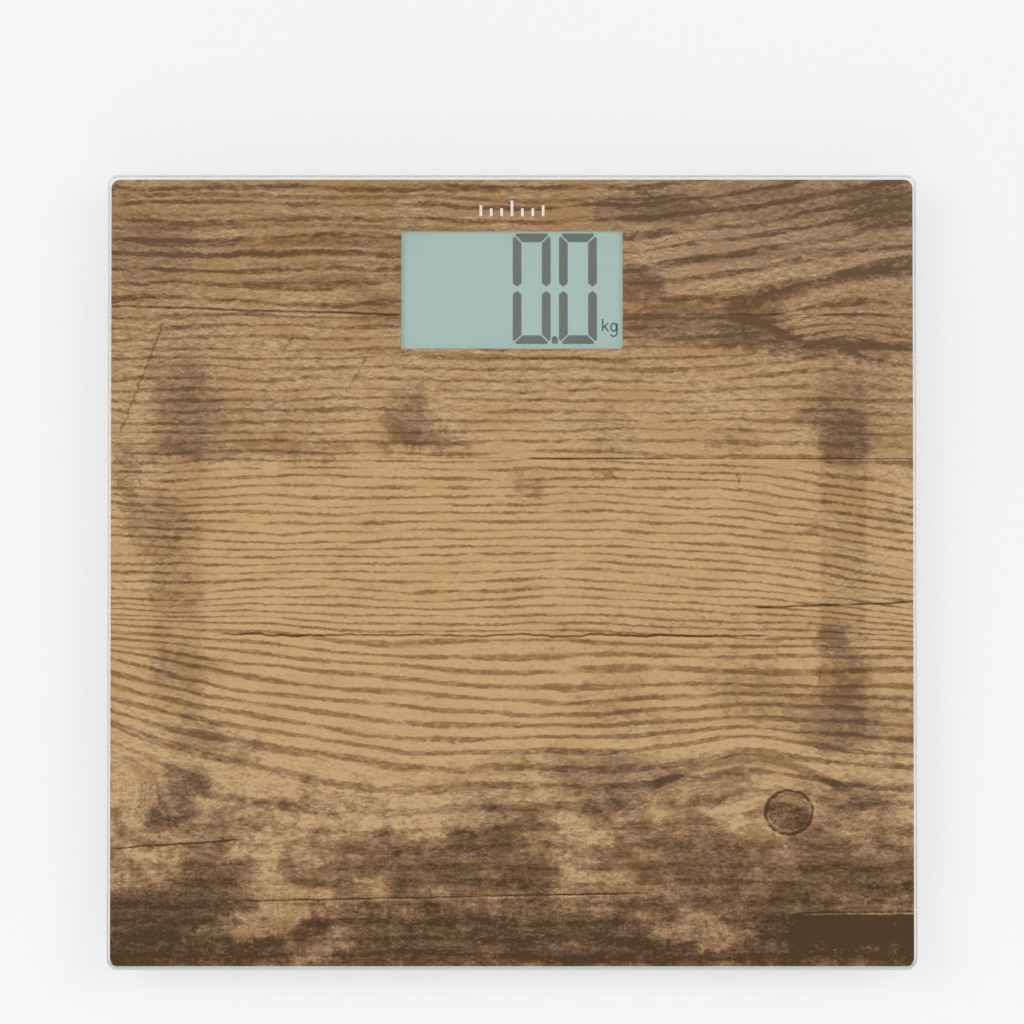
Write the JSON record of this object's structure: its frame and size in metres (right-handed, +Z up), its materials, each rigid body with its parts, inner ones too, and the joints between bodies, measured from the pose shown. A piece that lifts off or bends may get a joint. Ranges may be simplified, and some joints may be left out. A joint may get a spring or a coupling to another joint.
{
  "type": "digital bathroom scale",
  "caption": "Square glass platform scale with a wood-grain print, a liquid-crystal weight display under the glass, load-cell feet, a unit button and a coin-cell compartment underneath.",
  "frame": {"origin": "on the floor, under the middle of the glass platform", "axes": "+Z up; +Y towards the edge that carries the display; +X to the right of a person who stands on the scale and faces the display"},
  "size_m": [0.303, 0.303, 0.021],
  "materials": {
    "glass": "polished clear tempered glass with a ground edge",
    "wood_print": "wood-grain print on the back of the glass",
    "foam": "dark closed-cell foam tape",
    "housing": "dark grey moulded plastic, fine texture",
    "button": "smooth grey plastic",
    "lcd": "grey-green liquid-crystal panel",
    "zebra": "pink and black striped silicone connector",
    "board": "green solder mask",
    "resin": "black potting resin",
    "plated_steel": "nickel-plated steel",
    "capacitor": "tan ceramic",
    "switch": "black plastic",
    "contact": "thin plated spring metal",
    "adhesive": "pale double-sided foam adhesive",
    "label": "blank silver-grey label",
    "foot_plastic": "dark grey moulded plastic",
    "load_cell_steel": "stamped steel",
    "gauge_coating": "white silicone coat over the gauge",
    "foot_rubber": "grey non-slip rubber",
    "lead_insulation": "soft plastic insulation in red, black and white",
    "duct_plastic": "dark grey moulded plastic"
  },
  "bodies": {
    "platform": {"glass_platform": "glass", "decor_film": "wood_print", "display_tape": "foam", "lcd_foam": "foam", "display_frame": "housing", "display_cover": "housing", "lcd_panel": "lcd", "zebra_strip": "zebra", "circuit_board": "board", "controller_chip": "resin", "watch_crystal": "plated_steel", "cover_screws": "plated_steel", "board_screws": "plated_steel", "coin_cell": "plated_steel", "board_capacitors": "capacitor", "tact_switch": "switch", "contact_positive": "contact", "contact_negative": "contact", "base_adhesive": "adhesive", "rating_label": "label", "sensor_base_front_left": "foot_plastic", "sensor_base_front_right": "foot_plastic", "sensor_base_rear_left": "foot_plastic", "sensor_base_rear_right": "foot_plastic", "load_cell_front_left": "load_cell_steel", "load_cell_front_right": "load_cell_steel", "load_cell_rear_left": "load_cell_steel", "load_cell_rear_right": "load_cell_steel", "strain_gauge_front_left": "gauge_coating", "strain_gauge_front_right": "gauge_coating", "strain_gauge_rear_left": "gauge_coating", "strain_gauge_rear_right": "gauge_coating", "sensor_lead_front_left": "lead_insulation", "sensor_lead_front_right": "lead_insulation", "sensor_lead_rear_left": "lead_insulation", "sensor_lead_rear_right": "lead_insulation", "cable_duct_front_left": "duct_plastic", "cable_duct_front_right": "duct_plastic", "cable_duct_rear_left": "duct_plastic", "cable_duct_rear_right": "duct_plastic"},
    "foot_front_left": {"foot_cap_front_left": "foot_plastic", "foot_pad_front_left": "foot_rubber"},
    "foot_front_right": {"foot_cap_front_right": "foot_plastic", "foot_pad_front_right": "foot_rubber"},
    "foot_rear_left": {"foot_cap_rear_left": "foot_plastic", "foot_pad_rear_left": "foot_rubber"},
    "foot_rear_right": {"foot_cap_rear_right": "foot_plastic", "foot_pad_rear_right": "foot_rubber"},
    "door": {"battery_door": "housing"},
    "button": {"unit_button": "button"}
  },
  "joints": [
    {"name": "foot_front_left_press", "type": "slide", "parent": "platform", "child": "foot_front_left", "axis": [0, 0, 1], "range_m": [0, 0.0006], "stiffness_N_per_m": 700000, "deforming": ["load_cell_front_left"]},
    {"name": "foot_front_right_press", "type": "slide", "parent": "platform", "child": "foot_front_right", "axis": [0, 0, 1], "range_m": [0, 0.0006], "stiffness_N_per_m": 700000, "deforming": ["load_cell_front_right"]},
    {"name": "foot_rear_left_press", "type": "slide", "parent": "platform", "child": "foot_rear_left", "axis": [0, 0, 1], "range_m": [0, 0.0006], "stiffness_N_per_m": 700000, "deforming": ["load_cell_rear_left"]},
    {"name": "foot_rear_right_press", "type": "slide", "parent": "platform", "child": "foot_rear_right", "axis": [0, 0, 1], "range_m": [0, 0.0006], "stiffness_N_per_m": 700000, "deforming": ["load_cell_rear_right"]},
    {"name": "battery_door_hinge", "type": "hinge", "parent": "platform", "child": "door", "pos_m": [-0.026, 0.0762, 0.0047], "axis": [1, 0, 0], "range_deg": [0, 85]},
    {"name": "unit_button_press", "type": "slide", "parent": "platform", "child": "button", "axis": [0, 0, 1], "range_m": [0, 0.0004], "stiffness_N_per_m": 5000}
  ]
}
